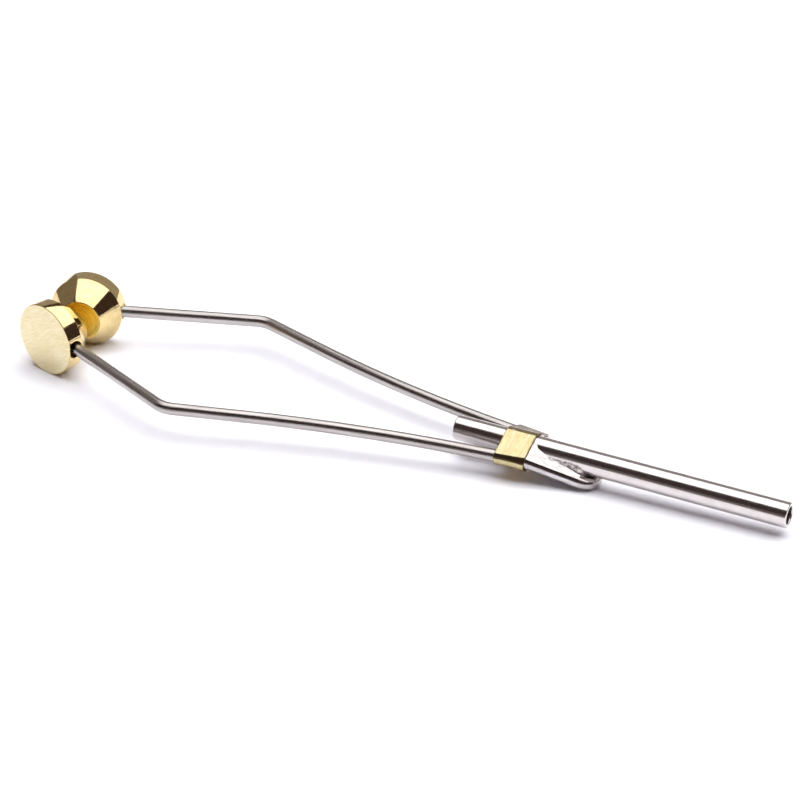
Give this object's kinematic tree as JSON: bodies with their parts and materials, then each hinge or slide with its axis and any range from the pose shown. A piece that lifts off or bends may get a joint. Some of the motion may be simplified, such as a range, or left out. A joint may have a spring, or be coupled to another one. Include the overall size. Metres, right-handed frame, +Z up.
{
  "type": "fly-tying bobbin holder",
  "caption": "Sprung wire holder for a spool of tying thread: brass cone feet grip the spool from both sides and a thin steel tube guides the thread.",
  "frame": {"origin": "on the table, under the middle of the part's length and between its arms", "axes": "+X from the knobs towards the tube's tip, +Y towards the left arm, +Z up from the table the part lies on"},
  "size_m": [0.1062, 0.0276, 0.0098],
  "materials": {
    "tube_steel": "polished stainless tube with bright rolled lips",
    "wire_steel": "bright drawn spring wire with faint draw lines",
    "knob_brass": "turned brass, satin outer face, polished rim and cone",
    "band_brass": "thin rolled brass strip, slightly dented and smeared with solder",
    "solder": "hand-laid tin solder, bright where it ran and grainy beneath"
  },
  "bodies": {
    "stem": {"thread_tube": "tube_steel", "clamp_band": "band_brass", "wire_hairpin": "wire_steel", "left_flexure": "wire_steel", "right_flexure": "wire_steel", "band_solder": "solder", "loop_solder": "solder"},
    "left_limb": {"left_arm": "wire_steel", "left_knob": "knob_brass"},
    "right_limb": {"right_arm": "wire_steel", "right_knob": "knob_brass"}
  },
  "joints": [
    {"name": "left_arm_spread", "type": "hinge", "parent": "stem", "child": "left_limb", "pos_m": [0.00648, 0.00469, 0.00317], "axis": [0, 0, -1], "range_deg": [0, 14], "stiffness_Nm_per_rad": 2.2, "deforming": ["left_flexure"]},
    {"name": "right_arm_spread", "type": "hinge", "parent": "stem", "child": "right_limb", "pos_m": [0.00648, -0.00469, 0.00317], "axis": [0, 0, 1], "range_deg": [0, 14], "stiffness_Nm_per_rad": 2.2, "deforming": ["right_flexure"]}
  ]
}
